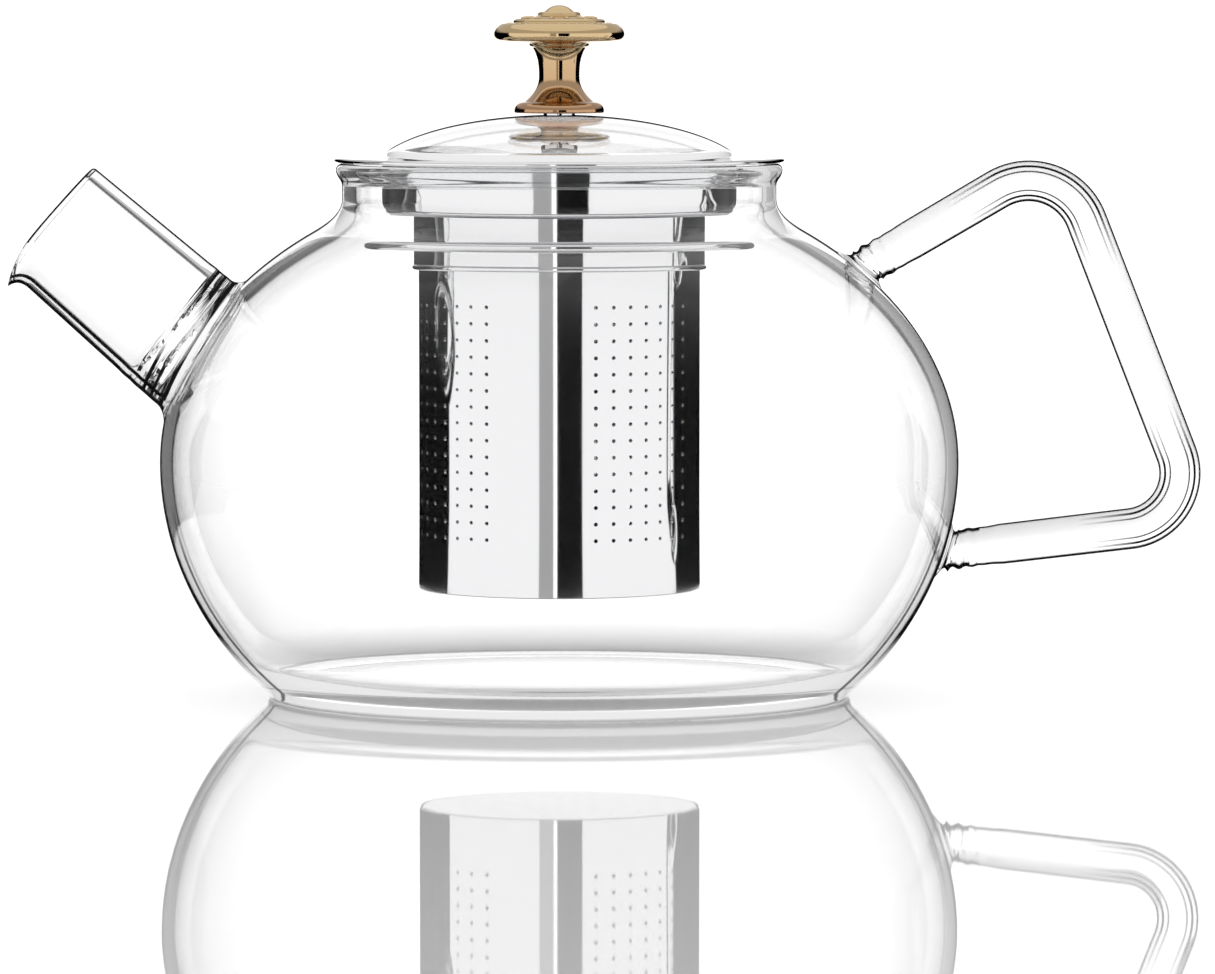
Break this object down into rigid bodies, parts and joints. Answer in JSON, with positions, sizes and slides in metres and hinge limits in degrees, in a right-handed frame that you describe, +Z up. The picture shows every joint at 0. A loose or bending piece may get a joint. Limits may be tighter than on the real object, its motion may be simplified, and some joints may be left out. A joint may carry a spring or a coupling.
{
  "type": "tea infuser teapot",
  "caption": "Clear glass teapot with a straight spout and an open rod handle, a lift-out perforated steel tea infuser in its neck, and a domed glass lid with a gold-coloured knob.",
  "frame": {"origin": "middle of the flat base, on the underside of the glass", "axes": "+Z up, +X towards the handle, -X towards the spout, +Y to the left of a person who looks from the spout to the handle"},
  "size_m": [0.2326, 0.1558, 0.135],
  "materials": {
    "pot_glass": "clear blown glass",
    "lid_glass": "clear pressed glass",
    "polished_steel": "mirror-polished stainless steel",
    "gold_plate": "polished gold-coloured plating",
    "clear_silicone": "clear soft silicone"
  },
  "bodies": {
    "pot": {"pot_body": "pot_glass", "spout": "pot_glass", "handle": "pot_glass"},
    "infuser": {"infuser_collar": "polished_steel", "infuser_seal": "clear_silicone", "infuser_flange": "polished_steel", "infuser_basket": "polished_steel", "infuser_base": "polished_steel"},
    "lid": {"lid_glass": "lid_glass", "knob": "gold_plate", "knob_pad": "clear_silicone", "washer_pad": "clear_silicone", "lid_washer": "polished_steel", "knob_screw": "polished_steel"}
  },
  "joints": [
    {"name": "infuser_lift", "type": "slide", "parent": "pot", "child": "infuser", "axis": [0, 0, 1], "range_m": [0, 0.11]},
    {"name": "lid_lift", "type": "slide", "parent": "infuser", "child": "lid", "axis": [0, 0, 1], "range_m": [0, 0.05]}
  ]
}
